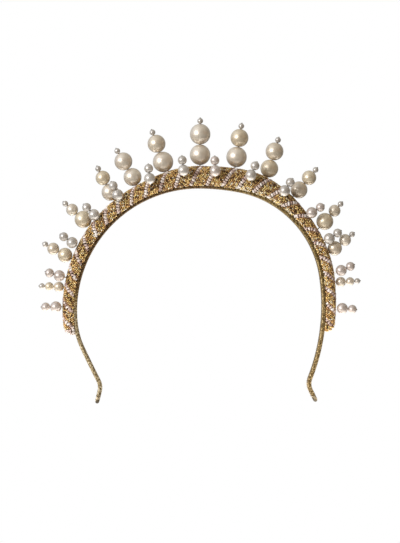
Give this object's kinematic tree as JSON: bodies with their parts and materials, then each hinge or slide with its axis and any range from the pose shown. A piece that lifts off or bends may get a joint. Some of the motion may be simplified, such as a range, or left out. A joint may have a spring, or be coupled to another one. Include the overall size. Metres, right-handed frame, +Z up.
{
  "type": "pearl crown headband",
  "caption": "Arched headband with kicked-out tips, a bead-wrapped padded roll over its top, and pearl spires and pearl pairs standing outward from the roll.",
  "frame": {"origin": "highest point of the band's inner face, where the crown sits on the head", "axes": "+Z up, out of the head; the front of the crown faces -Y; +X is to the right as seen from the front"},
  "size_m": [0.1891, 0.0202, 0.1672],
  "materials": {
    "spring_steel": "bare spring steel strip, hidden under the winding",
    "gold_thread": "antique gold metallic thread, wound tight",
    "gold_cap": "antique gold, satin",
    "padding": "wadding, hidden",
    "cover_fabric": "gold woven cloth under the beads",
    "gold_beads": "silver-lined gold glass seed beads",
    "pale_beads": "pale blush lustre seed beads",
    "pin_wire": "pale gold headed pins",
    "pearl": "ivory faux pearl, glossy nacre coat",
    "small_pearl": "ivory faux pearl, glossy nacre coat"
  },
  "bodies": {
    "root": {"spring_strip": "spring_steel", "band_winding": "gold_thread", "tip_cap_left": "gold_cap", "tip_cap_right": "gold_cap", "padding_core": "padding", "padding_cover": "cover_fabric", "gold_bead_wrap": "gold_beads", "pale_bead_strings": "pale_beads", "end_beads_left": "pale_beads", "end_beads_right": "gold_beads", "spire_pins": "pin_wire", "pair_pins": "pin_wire", "tip_beads": "small_pearl", "base_pearl_centre": "pearl", "base_pearl_left_1": "pearl", "base_pearl_left_2": "pearl", "base_pearl_left_3": "pearl", "base_pearl_left_4": "pearl", "base_pearl_left_5": "pearl", "base_pearl_left_6": "pearl", "base_pearl_right_1": "pearl", "base_pearl_right_2": "pearl", "base_pearl_right_3": "pearl", "base_pearl_right_4": "pearl", "base_pearl_right_5": "pearl", "base_pearl_right_6": "pearl", "upper_pearl_centre": "pearl", "upper_pearl_left_1": "pearl", "upper_pearl_left_2": "pearl", "upper_pearl_left_3": "pearl", "upper_pearl_left_4": "pearl", "upper_pearl_left_5": "pearl", "upper_pearl_left_6": "pearl", "upper_pearl_right_1": "pearl", "upper_pearl_right_2": "pearl", "upper_pearl_right_3": "pearl", "upper_pearl_right_4": "pearl", "upper_pearl_right_5": "pearl", "upper_pearl_right_6": "pearl", "pair_pearls_left_1": "small_pearl", "pair_pearls_left_2": "small_pearl", "pair_pearls_left_3": "small_pearl", "pair_pearls_left_4": "small_pearl", "pair_pearls_left_5": "small_pearl", "pair_pearls_left_6": "small_pearl", "pair_pearls_left_7": "small_pearl", "pair_pearls_right_1": "small_pearl", "pair_pearls_right_2": "small_pearl", "pair_pearls_right_3": "small_pearl", "pair_pearls_right_4": "small_pearl", "pair_pearls_right_5": "small_pearl", "pair_pearls_right_6": "small_pearl", "pair_pearls_right_7": "small_pearl"}
  },
  "joints": []
}
